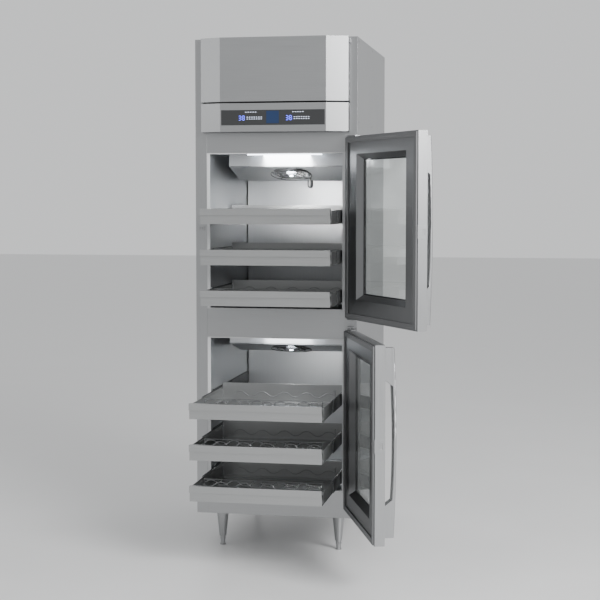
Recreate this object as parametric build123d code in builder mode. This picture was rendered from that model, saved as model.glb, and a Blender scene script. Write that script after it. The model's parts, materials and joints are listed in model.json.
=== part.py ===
"""Two-compartment proofing cabinet with half-height glass doors, pull-out drawers and a top-mounted unit.

Millimetres, +Z up.  The origin is on the floor, under the middle of the cabinet's front face:
+X is to the right of someone facing the cabinet and +Y runs back through it.
"""
from build123d import *
import os
from math import cos, hypot, radians, sin

os.makedirs("parts", exist_ok=True)

# ---- cabinet body ----
WIDTH, DEPTH, HEIGHT = 673.0, 867.0, 2113.0
HALF = WIDTH / 2
LEG_H = 152.0              # underside of the body
DECK_Z = 1733.0            # top of the insulated box, floor of the machine compartment
SEAM_Z = 1759.0            # where the upper side panels start
SKIN, LINER = 1.2, 1.0     # sheet thicknesses
JOINT = 0.3                # gap between pieces that are made apart but sit together
OPEN_HALF = 275.8          # half width of both door openings
UPPER_Z = (1013.4, 1646.8)
LOWER_Z = (266.1, 889.2)
INNER_BACK = 805.0         # inside face of the liner's back
DUCT_Y = 690.0             # air duct panel in front of it
DUCT_GAP, DUCT_TOP = 5.0, 78.0   # its clearance at the sides and under the ceiling
TRIM_W, TRIM_T = 13.0, 1.5   # upright strips beside the openings
BAR_H = 3.0                # level strips above and below them
SCREW_R, SCREW_EDGE = 2.6, 10.0

# ---- top: control fascia and hinged shroud share one faceted plan ----
FACET_X, FACET_Y = 218.0, -60.0
RETURN_X, RETURN_Y = 304.0, -33.0
FASCIA_Z = (1734.0, 1848.5)
SHROUD_Z = (1855.0, HEIGHT)
SHEET = 1.5
SHROUD_PIN_Y, SHROUD_PIN_Z, SHROUD_PIN_R = -12.0, 2098.0, 4.0
DISPLAY_HALF, DISPLAY_Z, DISPLAY_T = 213.0, (1760.0, 1821.0), 1.2

# ---- doors, in a frame on each door: x from the hinge axis to the free edge, y outwards ----
HINGE = (315.6, -31.8)
DOOR_ANGLE = {"upper": 123.4, "lower": 108.8}     # how far each door stands open
DOOR_Z = {"upper": (981.3, 1710.4), "lower": (197.4, 934.6)}
DOOR_X = (4.6, 626.6)
DOOR_Y = (-23.8, 15.0)
WINDOW_SIDE, WINDOW_BOTTOM, WINDOW_TOP = 96.0, 81.0, 70.0
JAMB_SPLAY, GLASS_REBATE = 20.0, 8.0      # slope of the window's lining, cover over the glass edge
GASKET_T, GASKET_W, GASKET_INSET = 7.0, 20.0, 4.0
GLASS_T, SPACER_W = 3.2, 14.0
OUTER_GLASS_Y, INNER_GLASS_Y = 9.8, -1.0          # back faces of the two panes
HANDLE_X, HANDLE_W = 530.6, 38.0
HANDLE_END, HANDLE_BLOCK = 16.0, 125.0
HANDLE_PROUD, HANDLE_GAP, HANDLE_BOW = 46.0, 37.0, 9.0
LOCK_Z = {"upper": 1342.0, "lower": 566.0}
LOCK_PLATE_H, LOCK_WRAP = 50.0, 3.0
BOLT = (30.0, 8.0, 22.0)
PIN_R, PIN_PLAY, PLATE_T, PLATE_GAP = 5.0, 0.05, 5.0, 1.0
BRACKET_WEB = 16.0
KEEPER_X, KEEPER_H = (-HALF + 14, -HALF + 38), 18.0

# ---- drawers and slides ----
DRAWER_HALF, DRAWER_H, DRAWER_LEN = 261.7, 61.5, 560.0
DRAWER_TOPS = {"upper": (1423.8, 1261.2, 1098.7), "lower": (671.2, 509.1, 347.6)}
DRAWER_FRONT_Y = {"upper": -227.0, "lower": -410.0}   # where the fronts stand
CLOSED_FRONT_Y = 12.0
TRAY_T, FRONT_T, BACK_RISE, WALL_H = 1.5, 20.0, 12.0, 46.0
CREASE, CREASE_STEP = 26.0, 9.0                       # pull lip: its height, how far it overhangs
SLIDE_H = (46.0, 50.0, 54.0)                          # drawer, middle and cabinet members
SLIDE_X = ((262.0, 264.2), (264.7, 269.7), (270.2, 275.8))
SLIDE_GROOVE, SLIDE_DEPTH = 22.0, 1.4
SLIDE_LEN = (530.0, 530.0, 655.0)
SLIDE_SETBACK, SLIDE_RISE = 22.0, 4.0
WIRE_R, WAVE_P, WAVE_A = 1.7, 94.0, 9.5
WIRE_GAP = 0.15                                       # between the rack's welded wires
WAVES = 10                                            # half waves across the tray
# each frame: distance behind the front, wave's depth below the tray's top, first crest, top bar,
# how many half waves it is short of the others on the left, and its posts' depth below the tray's top
WAVE_FRAMES = ((122.0, 14.0, 1, False, 0, 14.0),
               (156.0, 14.0, -1, True, 0, 3.0),
               (470.0, 22.0, 1, False, 1, 2.0))
HOOK = 24.0                                           # wire bent forward from the rear posts

# ---- air system ----
FAN_X, FAN_R = 27.0, 84.0
HOUSING_X = (-218.0, 268.0)
HOUSING_Y = (100.0, 300.0)
HOUSING_DROP = {"upper": (50.8, 102.8), "lower": (33.2, 81.2)}   # below the ceiling: front lip, flat part
COIL_Y = (330.0, 640.0)
GUARD_DROP, GUARD_WIRE = 7.0, 1.5                     # the fan guards stand off below their housings
LAMP_X, LAMP_Y, LAMP_H = (-129.0, 181.0), (46.0, 62.0), 4.0
PROBE, RETURN_PROBE = (96.0, 266.0), (-150.0, 150.0)
PROBE_LEN, PROBE_R = 34.0, 11.5

# ---- feet ----
FOOT_INSET = 88.0
LEG_TOP_R, LEG_BOTTOM_R, LEG_TUBE_H = 25.5, 14.5, 115.0
FOOT_R, FOOT_PAD_R = 10.0, 12.5


def save(piece, label):
    """Name a finished piece and write it to its own file."""
    piece.part.label = label
    export_step(piece.part, f"parts/{label}.step")


def block(x, y, z, mode=Mode.ADD):
    """A box in the part being built, from its limits along each axis."""
    with Locations((sum(x) / 2, sum(y) / 2, sum(z) / 2)):
        Box(abs(x[1] - x[0]), abs(y[1] - y[0]), abs(z[1] - z[0]), mode=mode)


def rod(centre, radius, length, axis=(0, 0, 1), mode=Mode.ADD):
    """A round bar in the part being built, centred at a point, along an axis."""
    with Locations(Plane(centre, z_dir=axis).location):
        Cylinder(radius, length, mode=mode)


def ring(x, z, width, y):
    """A rectangular picture-frame band inside the x and z limits, between two y values."""
    block(x, y, z)
    block((x[0] + width, x[1] - width), y, (z[0] + width, z[1] - width), Mode.SUBTRACT)


# ------------------------------------------------------------------ cabinet
def insulation():
    """Foamed walls between the outer sheets and the liners, as separate blocks with fine joints."""
    wall = (OPEN_HALF + LINER, HALF - SKIN)
    inside = (-wall[0] + JOINT, wall[0] - JOINT)
    with BuildPart() as foam:
        for side in (-1, 1):
            x = (side * wall[0], side * wall[1])
            block(x, (SKIN, DEPTH - SKIN), (LEG_H + SKIN, DECK_Z - SKIN))
        block(inside, (INNER_BACK + LINER, DEPTH - SKIN), (LEG_H + SKIN, DECK_Z - SKIN))
        ahead = (SKIN, INNER_BACK + LINER - JOINT)
        block(inside, ahead, (LEG_H + SKIN, LOWER_Z[0] - LINER))
        block(inside, ahead, (LOWER_Z[1] + LINER, UPPER_Z[0] - LINER))
        block(inside, ahead, (UPPER_Z[1] + LINER, DECK_Z - SKIN))
    save(foam, "insulation")


def side_panels():
    """Outer side sheets, from the underside up to the machine compartment's seam."""
    with BuildPart() as panels:
        for side in (-1, 1):
            block((side * (HALF - SKIN), side * HALF), (SKIN, DEPTH - SKIN), (LEG_H, SEAM_Z))
    save(panels, "side_panels")


def back_panel():
    """Rear sheet and the deck and underside sheets that close the foamed box."""
    with BuildPart() as back:
        block((-HALF, HALF), (DEPTH - SKIN, DEPTH), (LEG_H, SEAM_Z))
        inner = (-HALF + SKIN, HALF - SKIN)
        block(inner, (SKIN, DEPTH - SKIN), (DECK_Z - SKIN, DECK_Z))
        block(inner, (SKIN, DEPTH - SKIN), (LEG_H, LEG_H + SKIN))
    save(back, "back_panel")


def front_frame():
    """Stiles down both sides, the header, mullion and sill plates between them, and the strips."""
    stile = OPEN_HALF + TRIM_W
    with BuildPart() as stiles:
        for side in (-1, 1):
            block((side * (stile + JOINT), side * HALF), (0, SKIN), (LEG_H, DECK_Z))
    save(stiles, "front_stiles")
    mullion = (LOWER_Z[1] + BAR_H + JOINT, UPPER_Z[0] - BAR_H - JOINT)
    with BuildPart() as plates:
        for z in ((UPPER_Z[1] + BAR_H + JOINT, DECK_Z), mullion, (LEG_H, LOWER_Z[0] - BAR_H - JOINT)):
            block((-stile, stile), (0, SKIN), z)
        for z in (mullion[0] + SCREW_EDGE, mullion[1] - SCREW_EDGE):
            rod((0, -0.5, z), SCREW_R, 1.0, (0, 1, 0))
    save(plates, "front_plates")
    with BuildPart() as trim:
        for z0, z1 in (UPPER_Z, LOWER_Z):
            for side in (-1, 1):
                upright = (z0 + JOINT, z1 - JOINT)
                block((side * OPEN_HALF, side * stile), (-TRIM_T, SKIN), upright)
            for z in ((z0 - BAR_H, z0), (z1, z1 + BAR_H)):
                block((-stile, stile), (-TRIM_T, SKIN), z)
    save(trim, "breaker_strips")


def liners():
    """Stainless inner boxes of both compartments, open at the front."""
    with BuildPart() as shells:
        for z0, z1 in (UPPER_Z, LOWER_Z):
            outer = OPEN_HALF + LINER
            block((-outer, outer), (SKIN, INNER_BACK + LINER), (z0 - LINER, z1 + LINER))
            block((-OPEN_HALF, OPEN_HALF), (SKIN, INNER_BACK), (z0, z1), Mode.SUBTRACT)
    save(shells, "liners")
    with BuildPart() as ducts:
        for z0, z1 in (UPPER_Z, LOWER_Z):
            height = (z0, z1 - DUCT_TOP)
            block((-OPEN_HALF + DUCT_GAP, OPEN_HALF - DUCT_GAP), (DUCT_Y, DUCT_Y + SHEET), height)
            for side in (-1, 1):
                batten = (side * (OPEN_HALF - 17), side * (OPEN_HALF - 15))
                block(batten, (DUCT_Y + SHEET + JOINT, INNER_BACK), height)
    save(ducts, "duct_panels")


def hinge_brackets():
    """Forward tabs on the right stile with the pins that the doors turn on, and the lock keepers."""
    x = (HINGE[0] - 15, HINGE[0] + 15)
    reach = (HINGE[1] - 12, 0)
    away = PLATE_GAP + PLATE_T
    top, bottom = DOOR_Z["upper"][1] + away, DOOR_Z["lower"][0] - away
    between = (DOOR_Z["lower"][1] + away, DOOR_Z["upper"][0] - away)
    with BuildPart() as brackets:
        for door_z in DOOR_Z.values():
            for end, out in ((door_z[1], 1), (door_z[0], -1)):
                block(x, reach, (end + out * away, end + out * (away + PLATE_T)))
                pin_z = (end + out * 0.4, end + out * away)
                rod((*HINGE, sum(pin_z) / 2), PIN_R, abs(pin_z[1] - pin_z[0]))
        for web in ((top, top + BRACKET_WEB), between, (bottom - BRACKET_WEB, bottom)):
            block(x, (-PLATE_T, 0), web)
        for height in LOCK_Z.values():
            block(KEEPER_X, (-3, 0), (height - KEEPER_H / 2, height + KEEPER_H / 2))
            for dx in (-5.5, 5.5):
                middle = sum(KEEPER_X) / 2 + dx
                block((middle - 3, middle + 3), (-4, 1), (height - 5, height + 5), Mode.SUBTRACT)
    save(brackets, "hinge_brackets")


def leg_places():
    """Centres of the four legs on the floor."""
    side = HALF - FOOT_INSET
    rows = (FOOT_INSET, DEPTH - FOOT_INSET)
    return [(sx * side, y) for sx in (-1, 1) for y in rows]


def legs():
    """Tapered legs, each with an adjustable foot screwed up into it."""
    top, shoulder = LEG_H, LEG_H - 8
    bottom = LEG_H - LEG_TUBE_H
    with BuildPart() as tubes:
        for x, y in leg_places():
            with BuildSketch(Plane((x, y, 0), x_dir=(1, 0, 0), z_dir=(0, -1, 0))):
                with BuildLine():
                    Polyline((8, top), (LEG_TOP_R, top), (LEG_TOP_R, shoulder),
                             (LEG_BOTTOM_R, bottom), (8, bottom), close=True)
                make_face()
            revolve(axis=Axis((x, y, 0), (0, 0, 1)))
    save(tubes, "legs")
    with BuildPart() as feet:
        for x, y in leg_places():
            rod((x, y, (bottom + 4) / 2), FOOT_R, bottom - 4)
            rod((x, y, 2), FOOT_PAD_R, 4)
            rod((x, y, bottom + 30), 7.5, 64)
            with BuildSketch(Plane((x, y, bottom - 14))):
                RegularPolygon(12, 6)
            extrude(amount=10)
    save(feet, "levelling_feet")


# ------------------------------------------------------------------ top
def facet_plan(z, inset, back):
    """Plan outline of the fascia and shroud at a height, moved in by an inset, closed at a back line."""
    side, shoulder = RETURN_X - inset, RETURN_Y + inset * 0.8
    with BuildSketch(Plane.XY.offset(z)) as plan:
        with BuildLine():
            Polyline((-side, back), (-side, shoulder), (-FACET_X, FACET_Y + inset),
                     (FACET_X, FACET_Y + inset), (side, shoulder), (side, back), close=True)
        make_face()
    return plan.sketch


def faceted_box(z, back):
    """Hollow faceted box in the part being built, open at its back."""
    extrude(facet_plan(z[0], 0, back), amount=z[1] - z[0])
    hollow = facet_plan(z[0] + SHEET, SHEET, back + 10)
    extrude(hollow, amount=z[1] - z[0] - 2 * SHEET, mode=Mode.SUBTRACT)


def fascia():
    """Fixed control housing with its dark display window and two key pads."""
    with BuildPart() as housing:
        faceted_box(FASCIA_Z, -JOINT)
    save(housing, "control_fascia")
    with BuildPart() as lens:
        block((-DISPLAY_HALF, DISPLAY_HALF), (FACET_Y - DISPLAY_T, FACET_Y), DISPLAY_Z)
    save(lens, "display_lens")


def shroud():
    """Faceted cover of the machine compartment, hung on two pins near its top."""
    with BuildPart() as cover:
        faceted_box(SHROUD_Z, -1.0)
        for side in (-1, 1):
            ear = (side * (RETURN_X - SHEET), side * (RETURN_X - 8))
            block(ear, (SHROUD_PIN_Y - 10, -1.0), (SHROUD_PIN_Z - 12, HEIGHT - SHEET))
            centre = (side * (RETURN_X - 4), SHROUD_PIN_Y, SHROUD_PIN_Z)
            rod(centre, SHROUD_PIN_R + PIN_PLAY, 12, (1, 0, 0), Mode.SUBTRACT)
    save(cover, "shroud")


def machine_panels():
    """Side, back and top sheets of the machine compartment, its front flanges and shroud pins."""
    back_y = (DEPTH - SKIN, DEPTH)
    louvres, pitch = 7, 36.0
    with BuildPart() as sheets:
        for side in (-1, 1):
            x = (side * (HALF - SKIN), side * HALF)
            block(x, (0, DEPTH - SKIN), (SEAM_Z, HEIGHT - SKIN))
            flange = (side * (RETURN_X + 1), side * (HALF - SKIN))
            block(flange, (0, SKIN), (DECK_Z, HEIGHT - SKIN))
            lug = (side * (RETURN_X + 1), side * (RETURN_X + 4))
            block(lug, (SHROUD_PIN_Y - 8, 0), (SHROUD_PIN_Z - 10, SHROUD_PIN_Z + 10))
            pin = (side * (RETURN_X - 2.5), SHROUD_PIN_Y, SHROUD_PIN_Z)
            rod(pin, SHROUD_PIN_R, 10, (1, 0, 0))
        block((-HALF, HALF), back_y, (SEAM_Z, HEIGHT - SKIN))
        for row in range(louvres):
            middle = SEAM_Z + 70 + row * pitch
            for x in (-150, 150):
                block((x - 110, x + 110), (DEPTH - 3, DEPTH + 1), (middle - 5, middle + 5), Mode.SUBTRACT)
        block((-HALF, HALF), (0, DEPTH), (HEIGHT - SKIN, HEIGHT))
        for row in range(9):
            middle = 180 + row * 65.0
            for x in (-130, 130):
                slot = (x - 95, x + 95)
                block(slot, (middle - 8, middle + 8), (HEIGHT - 3, HEIGHT + 1), Mode.SUBTRACT)
    save(sheets, "machine_panels")


def machinery():
    """Compressor, condenser with its fan ring, and the condenser fan."""
    floor = DECK_Z
    with BuildPart() as compressor:
        block((-40, 220), (330, 560), (floor, floor + 6))
        with Locations((90, 445, floor + 86)):
            Cylinder(82, 120)
        fillet(compressor.edges().filter_by(GeomType.CIRCLE), 30)
        block((20, 160), (415, 475), (floor + 6, floor + 40))
        rod((90, 445, floor + 152), 16, 26)
        block((150, 196), (420, 470), (floor + 50, floor + 110))
    save(compressor, "compressor")
    with BuildPart() as condenser:
        block((-170, 170), (100, 150), (floor, floor + 300))
        ring((-172, 172), (floor, floor + 302), 6, (150, 190))
        block((-172, 172), (190, 192), (floor, floor + 302))
        rod((0, 190, floor + 150), 128, 40, (0, 1, 0), Mode.SUBTRACT)
        for row in range(28):
            z = floor + 12 + row * 10
            block((-168, 168), (99, 104), (z, z + 5), Mode.SUBTRACT)
        block((-6, 6), (200, 206), (floor, floor + 150))
        rod((0, 222, floor + 150), 32, 44, (0, 1, 0))
    save(condenser, "condenser")
    with BuildPart() as fan:
        fan_blades(Plane((0, 176, floor + 150), x_dir=(1, 0, 0), z_dir=(0, 1, 0)), 118, 18)
    save(fan, "condenser_fan")


def fan_blades(plane, radius, hub_r):
    """Hub and five pitched blades in the part being built, turning about the plane's normal."""
    blades, pitch, chord = 5, 28, 52
    with Locations(plane.location):
        Cylinder(hub_r, 16)
        with PolarLocations((radius + hub_r - 4) / 2, blades):
            Box(radius - hub_r + 4, chord, 1.6, rotation=(pitch, 0, 0))


# ------------------------------------------------------------------ air system in the compartments
def slope(compartment):
    """Plane on the sloped underside of a fan housing, at the fan's centre, facing down."""
    ceiling = (UPPER_Z if compartment == "upper" else LOWER_Z)[1]
    lip, flat = HOUSING_DROP[compartment]
    run = HOUSING_Y[1] - HOUSING_Y[0]
    centre = (FAN_X, sum(HOUSING_Y) / 2, ceiling - (lip + flat) / 2)
    return Plane(centre, x_dir=(1, 0, 0), z_dir=(0, -(flat - lip), -run))


def housings():
    """Evaporator housings under both ceilings, folded from sheets, with their guards, fans and coils."""
    with BuildPart() as covers:
        for name, (_, ceiling) in (("upper", UPPER_Z), ("lower", LOWER_Z)):
            lip, flat = HOUSING_DROP[name]
            y0, y1 = HOUSING_Y
            for start, amount in ((HOUSING_X[0], SHEET), (HOUSING_X[1], -SHEET)):
                with BuildSketch(Plane.YZ.offset(start)):
                    with BuildLine():
                        Polyline((y0, ceiling), (y0, ceiling - lip), (y1, ceiling - flat),
                                 (DUCT_Y, ceiling - flat), (DUCT_Y, ceiling), close=True)
                    make_face()
                extrude(amount=amount)
            inner = (HOUSING_X[0] + SHEET + JOINT, HOUSING_X[1] - SHEET - JOINT)
            block(inner, (y0, y0 + SHEET), (ceiling - lip + 2 * SHEET, ceiling))
            block(inner, (y1 + SHEET, DUCT_Y), (ceiling - flat, ceiling - flat + SHEET))
            with BuildSketch(slope(name)):
                with Locations((sum(inner) / 2 - FAN_X, 0)):
                    Rectangle(inner[1] - inner[0], hypot(y1 - y0, flat - lip) - 2)
                Circle(FAN_R, mode=Mode.SUBTRACT)
            extrude(amount=-SHEET)
    save(covers, "evaporator_housings")
    with BuildPart() as guards:
        for name in DOOR_ANGLE:
            with Locations(slope(name).offset(GUARD_DROP).location):
                for r in (34, 60, FAN_R + 2):
                    Torus(r, GUARD_WIRE)
                Cylinder(9, 2 * GUARD_WIRE)
                with PolarLocations(FAN_R / 2 + 3, 4, start_angle=45):
                    Box(FAN_R - 6, 3, 2.5)
    save(guards, "fan_guards")
    for name in DOOR_ANGLE:
        with BuildPart() as fan:
            fan_blades(slope(name).offset(-13), 76, 20)
        save(fan, f"{name}_fan_blades")
    with BuildPart() as coils:
        for name, (_, ceiling) in (("upper", UPPER_Z), ("lower", LOWER_Z)):
            flat = HOUSING_DROP[name][1]
            block((-190, 240), COIL_Y, (ceiling - flat + 12, ceiling - 8))
            for row in range(16):
                x = -180 + row * 26
                slot = (COIL_Y[0] - 1, COIL_Y[0] + 8)
                block((x, x + 8), slot, (ceiling - flat + 14, ceiling - 10), Mode.SUBTRACT)
    save(coils, "evaporator_coils")


def lamps_and_probes():
    """Ceiling lamp strips, the lamp inside each fan guard and the air temperature probes."""
    with BuildPart() as lamps:
        for name, (_, ceiling) in (("upper", UPPER_Z), ("lower", LOWER_Z)):
            block(LAMP_X, LAMP_Y, (ceiling - LAMP_H, ceiling))
            with Locations(slope(name).offset(-2).location):
                Cylinder(20, 4)
            with Locations(slope(name).offset(GUARD_DROP + GUARD_WIRE + 2).location):
                Cylinder(8, 3)
    save(lamps, "led_lamps")
    lip, flat = HOUSING_DROP["upper"]
    along = (PROBE[1] - HOUSING_Y[0]) / (HOUSING_Y[1] - HOUSING_Y[0])
    under = UPPER_Z[1] - lip - along * (flat - lip) - 1.2
    with BuildPart() as probes:
        capsule(PROBE, under, 10)
        capsule(RETURN_PROBE, LOWER_Z[1] - JOINT, 2)
    save(probes, "temperature_probes")


def capsule(place, top, stem):
    """A probe in the part being built: a thin stem down from its top, then a round-ended bulb."""
    rod((*place, top - stem / 2), 3, stem)
    length = PROBE_LEN - PROBE_R
    rod((*place, top - stem - length / 2), PROBE_R, length)
    with Locations((*place, top - stem - length)):
        Sphere(PROBE_R)


# ------------------------------------------------------------------ doors
def door_plane(door):
    """Frame on a door: x from the hinge axis to the free edge, y outwards, z up."""
    angle = radians(DOOR_ANGLE[door])
    return Plane((*HINGE, 0), x_dir=(-cos(angle), -sin(angle), 0), z_dir=(0, 0, 1))


def window(door):
    """Limits of a door's window, along x and z."""
    z0, z1 = DOOR_Z[door]
    x = (DOOR_X[0] + WINDOW_SIDE, DOOR_X[1] - WINDOW_SIDE)
    return x, (z0 + WINDOW_BOTTOM, z1 - WINDOW_TOP)


def window_outline(door, y, inset):
    """The window's outline at a depth in the door, moved in by an inset."""
    x, z = window(door)
    frame = door_plane(door)
    across = Plane(frame.from_local_coords((0, y, 0)), x_dir=frame.x_dir, z_dir=-frame.y_dir)
    with BuildSketch(across) as outline:
        with Locations((sum(x) / 2, sum(z) / 2)):
            Rectangle(x[1] - x[0] - 2 * inset, z[1] - z[0] - 2 * inset)
    return outline.sketch


def inset_window(door, inset):
    """Limits of the window, moved in by an inset, along x and z."""
    return [(low + inset, high - inset) for low, high in window(door)]


def door_leaf(door):
    """Outer pan, inner panel with the window's splayed lining, and foam core of one door."""
    z = DOOR_Z[door]
    view_x, view_z = inset_window(door, JAMB_SPLAY + SPACER_W / 4)
    core_x = (DOOR_X[0] + SKIN, DOOR_X[1] - SKIN)
    core_z = (z[0] + SKIN, z[1] - SKIN)
    core_y = (DOOR_Y[0] + SKIN, DOOR_Y[1] - SKIN)
    lock_x = (DOOR_X[1] - BOLT[0] - 12, DOOR_X[1] + 1)
    lock_z = (LOCK_Z[door] - BOLT[2] / 2 - 1, LOCK_Z[door] + BOLT[2] / 2 + 1)
    lock_y = (-BOLT[1] / 2 - 1, BOLT[1] / 2 + 1)
    with BuildPart(door_plane(door)) as skin:
        block(DOOR_X, (DOOR_Y[0] + SKIN, DOOR_Y[1]), z)
        block(core_x, core_y, core_z, Mode.SUBTRACT)
        block(view_x, (DOOR_Y[0], DOOR_Y[1] + 1), view_z, Mode.SUBTRACT)
        block(lock_x, lock_y, lock_z, Mode.SUBTRACT)
    save(skin, f"{door}_door_outer_skin")
    lining_y = (DOOR_Y[0], INNER_GLASS_Y - 0.2)
    hole_x, hole_z = inset_window(door, -0.5)
    with BuildPart(door_plane(door)) as panel:
        block(DOOR_X, (DOOR_Y[0], DOOR_Y[0] + SKIN), z)
        block(hole_x, (DOOR_Y[0] - 1, DOOR_Y[0] + 2), hole_z, Mode.SUBTRACT)
        loft([window_outline(door, lining_y[0], -SKIN), window_outline(door, lining_y[1], JAMB_SPLAY)])
        loft([window_outline(door, lining_y[0], 0), window_outline(door, lining_y[1], JAMB_SPLAY + SKIN)],
             mode=Mode.SUBTRACT)
    save(panel, f"{door}_door_inner_panel")
    with BuildPart(door_plane(door)) as core:
        block(core_x, core_y, core_z)
        block(hole_x, (DOOR_Y[0], DOOR_Y[1]), hole_z, Mode.SUBTRACT)
        block(lock_x, lock_y, lock_z, Mode.SUBTRACT)
    save(core, f"{door}_door_core")


def door_glazing(door):
    """Two panes held apart by a dark spacer, and the gasket round the inner panel."""
    z0, z1 = DOOR_Z[door]
    x, z = inset_window(door, JAMB_SPLAY - GLASS_REBATE)
    with BuildPart(door_plane(door)) as panes:
        for y in (OUTER_GLASS_Y, INNER_GLASS_Y):
            block(x, (y, y + GLASS_T), z)
    save(panes, f"{door}_door_glass")
    with BuildPart(door_plane(door)) as spacer:
        ring(x, z, SPACER_W, (INNER_GLASS_Y + GLASS_T, OUTER_GLASS_Y))
        band_x = (DOOR_X[0] + GASKET_INSET, DOOR_X[1] - GASKET_INSET)
        band_z = (z0 + GASKET_INSET, z1 - GASKET_INSET)
        gasket_frame(band_x, band_z, (DOOR_Y[0] - GASKET_T, DOOR_Y[0]))
    save(spacer, f"{door}_door_seals")


def gasket_frame(x, z, y):
    """Soft band round the inner panel, made of four bars so that the window stays open."""
    w = GASKET_W
    for bar_x in ((x[0], x[0] + w), (x[1] - w, x[1])):
        block(bar_x, y, z)
    for bar_z in ((z[0], z[0] + w), (z[1] - w, z[1])):
        block((x[0] + w, x[1] - w), y, bar_z)


def door_handle(door):
    """Full-length pull with a block at each end and a bowed grip between them."""
    z0, z1 = DOOR_Z[door][0] + HANDLE_END, DOOR_Z[door][1] - HANDLE_END
    face = DOOR_Y[1]
    grip0, grip1 = z0 + HANDLE_BLOCK, z1 - HANDLE_BLOCK
    middle = (z0 + z1) / 2
    frame = door_plane(door)
    side = frame.shift_origin(frame.from_local_coords((HANDLE_X, 0, 0)))
    profile = Plane(side.origin, x_dir=frame.y_dir, z_dir=frame.x_dir)
    with BuildPart() as handle:
        with BuildSketch(profile):
            with BuildLine():
                Polyline((face + HANDLE_PROUD, z0), (face, z0), (face, grip0 - 14),
                         (face + HANDLE_GAP, grip0 + 14))
                ThreePointArc((face + HANDLE_GAP, grip0 + 14), (face + HANDLE_GAP + HANDLE_BOW * 0.7, middle),
                              (face + HANDLE_GAP, grip1 - 14))
                Polyline((face + HANDLE_GAP, grip1 - 14), (face, grip1 + 14), (face, z1),
                         (face + HANDLE_PROUD, z1))
                ThreePointArc((face + HANDLE_PROUD, z1), (face + HANDLE_PROUD + HANDLE_BOW, middle),
                              (face + HANDLE_PROUD, z0))
            make_face()
        extrude(amount=HANDLE_W)
        outer = handle.edges().filter_by(GeomType.CIRCLE)
        fillet(outer, 4)
    save(handle, f"{door}_door_handle")


def door_hardware(door):
    """Hinge plates on both ends of the door and the lock's face plate; then the sliding bolt."""
    z0, z1 = DOOR_Z[door]
    edge = DOOR_X[1]
    height = LOCK_Z[door]
    with BuildPart(door_plane(door)) as plates:
        for z in ((z1, z1 + PLATE_T), (z0 - PLATE_T, z0)):
            block((-11, 62), (-11, 11), z)
            rod((0, 0, sum(z) / 2), PIN_R + PIN_PLAY, PLATE_T + 2, mode=Mode.SUBTRACT)
        plate_z = (height - LOCK_PLATE_H / 2, height + LOCK_PLATE_H / 2)
        block((edge, edge + 1.5), (DOOR_Y[0] - 1, DOOR_Y[1]), plate_z)
        block((edge - LOCK_WRAP, edge + 1.5), (DOOR_Y[0] - 1, DOOR_Y[0]), plate_z)
        block((edge - 0.5, edge + 3), (-BOLT[1] / 2 - 0.5, BOLT[1] / 2 + 0.5),
              (height - BOLT[2] / 2 - 0.5, height + BOLT[2] / 2 + 0.5), Mode.SUBTRACT)
    save(plates, f"{door}_door_hardware")
    with BuildPart(door_plane(door)) as bolt:
        block((edge + 1 - BOLT[0], edge + 1), (-BOLT[1] / 2, BOLT[1] / 2),
              (height - BOLT[2] / 2, height + BOLT[2] / 2))
    save(bolt, f"{door}_lock_bolt")


# ------------------------------------------------------------------ drawers
def slides(member, y0, bottom):
    """A left and a right slide member in the part being built, grooved along its middle."""
    low, high = SLIDE_X[member]
    length = SLIDE_LEN[member]
    middle = bottom + SLIDE_RISE + SLIDE_H[2] / 2
    half, half_groove = SLIDE_H[member] / 2, SLIDE_GROOVE / 2
    for side in (-1, 1):
        block((side * low, side * high), (y0, y0 + length), (middle - half, middle + half))
        groove = (side * (low - 1), side * (low + SLIDE_DEPTH))
        block(groove, (y0 - 1, y0 + length + 1), (middle - half_groove, middle + half_groove), Mode.SUBTRACT)


def drawer_tray(name, front, top):
    """Folded sheet tray: creased box front, low sides, raised back, and the drawer slide members."""
    bottom = top - DRAWER_H
    back = front + DRAWER_LEN
    inner = DRAWER_HALF - TRAY_T
    over = DRAWER_HALF + 1
    rim = top + BACK_RISE
    with BuildPart() as tray:
        block((-DRAWER_HALF, DRAWER_HALF), (front, back), (bottom, rim))
        block((-inner, inner), (front + FRONT_T, back - TRAY_T), (bottom + TRAY_T, rim + 1), Mode.SUBTRACT)
        block((-over, over), (front - 1, front + FRONT_T), (top, rim + 1), Mode.SUBTRACT)
        block((-over, over), (front + FRONT_T, back - TRAY_T), (bottom + WALL_H, rim + 1), Mode.SUBTRACT)
        block((-over, over), (front - 1, front + CREASE_STEP), (bottom - 1, top - CREASE), Mode.SUBTRACT)
        slides(0, front + SLIDE_SETBACK, bottom)
    save(tray, f"{name}_tray")


def wave_wire(y, height, sign, first):
    """Path and round section of a cradle wire bent into alternating arcs across the tray."""
    half_wave = WAVE_P / 2
    with BuildLine(Plane.XZ.offset(-y)) as path:
        for i in range(first, WAVES):
            a, b = (i - WAVES / 2) * half_wave, (i + 1 - WAVES / 2) * half_wave
            crest = height + sign * WAVE_A * (1 if i % 2 else -1)
            ThreePointArc((a, height), ((a + b) / 2, crest), (b, height))
    with BuildSketch(Plane(path.line @ 0, z_dir=path.line % 0)) as section:
        Circle(WIRE_R)
    return path.line, section.sketch


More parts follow.
